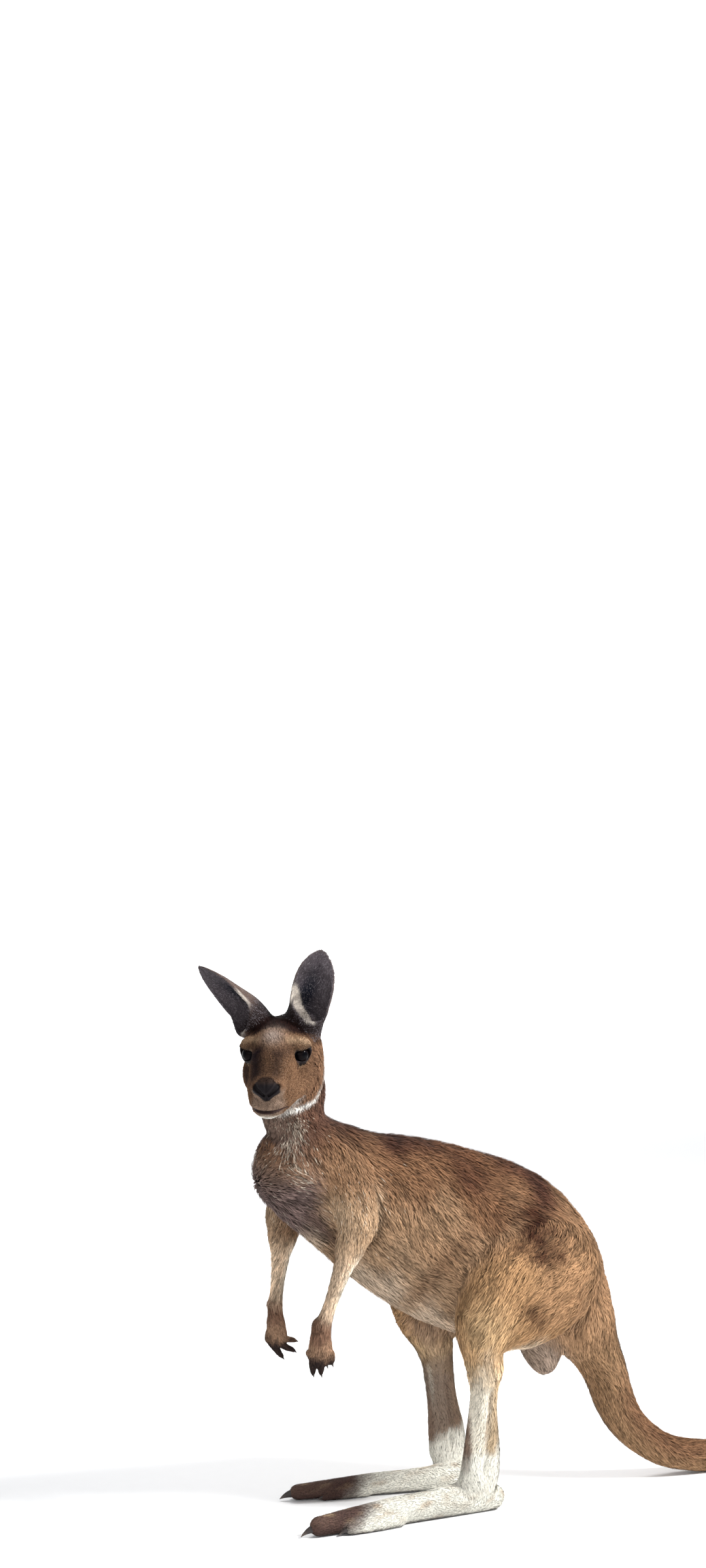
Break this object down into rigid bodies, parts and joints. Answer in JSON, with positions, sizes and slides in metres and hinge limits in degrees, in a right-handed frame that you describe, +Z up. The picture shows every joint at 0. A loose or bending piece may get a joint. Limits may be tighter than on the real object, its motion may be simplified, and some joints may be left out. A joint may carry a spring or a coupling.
{
  "type": "standing kangaroo figure",
  "caption": "Life-size still figure of a young male grey kangaroo standing crouched on its hind feet and tail, head turned to its left.",
  "frame": {"origin": "on the floor under the middle of the animal's box", "axes": "+Z up, -Y the way the body faces, +X the animal's left; the tail runs towards +Y"},
  "size_m": [0.3034, 1.4058, 0.912],
  "materials": {
    "body_fur": "short brown grizzled fur, paler below",
    "head_fur": "short close fur, dark nose and pale jaw line",
    "ear_fur": "dark short fur with pale margins",
    "limb_fur": "short cream fur turning dark at the toes and fingers",
    "tail_fur": "short brown grizzled fur",
    "eye": "wet, nearly black brown",
    "claw": "worn dark horn"
  },
  "bodies": {
    "root": {"claw_foot_left_great": "claw", "claw_foot_left_inner": "claw", "claw_foot_left_outer": "claw", "claw_foot_right_great": "claw", "claw_foot_right_inner": "claw", "claw_foot_right_outer": "claw", "claw_hand_left_1": "claw", "claw_hand_left_2": "claw", "claw_hand_left_3": "claw", "claw_hand_left_4": "claw", "claw_hand_left_5": "claw", "claw_hand_right_1": "claw", "claw_hand_right_2": "claw", "claw_hand_right_3": "claw", "claw_hand_right_4": "claw", "claw_hand_right_5": "claw", "ear_left": "ear_fur", "ear_right": "ear_fur", "eye_left": "eye", "eye_right": "eye", "foot_left": "limb_fur", "foot_right": "limb_fur", "forearm_left": "limb_fur", "forearm_right": "limb_fur", "hand_left": "limb_fur", "hand_right": "limb_fur", "head": "head_fur", "neck": "body_fur", "scrotum": "limb_fur", "shin_left": "limb_fur", "shin_right": "limb_fur", "tail_end": "tail_fur", "tail_middle": "tail_fur", "tail_root": "tail_fur", "thigh_left": "body_fur", "thigh_right": "body_fur", "trunk": "body_fur", "upper_arm_left": "body_fur", "upper_arm_right": "body_fur"}
  },
  "joints": []
}
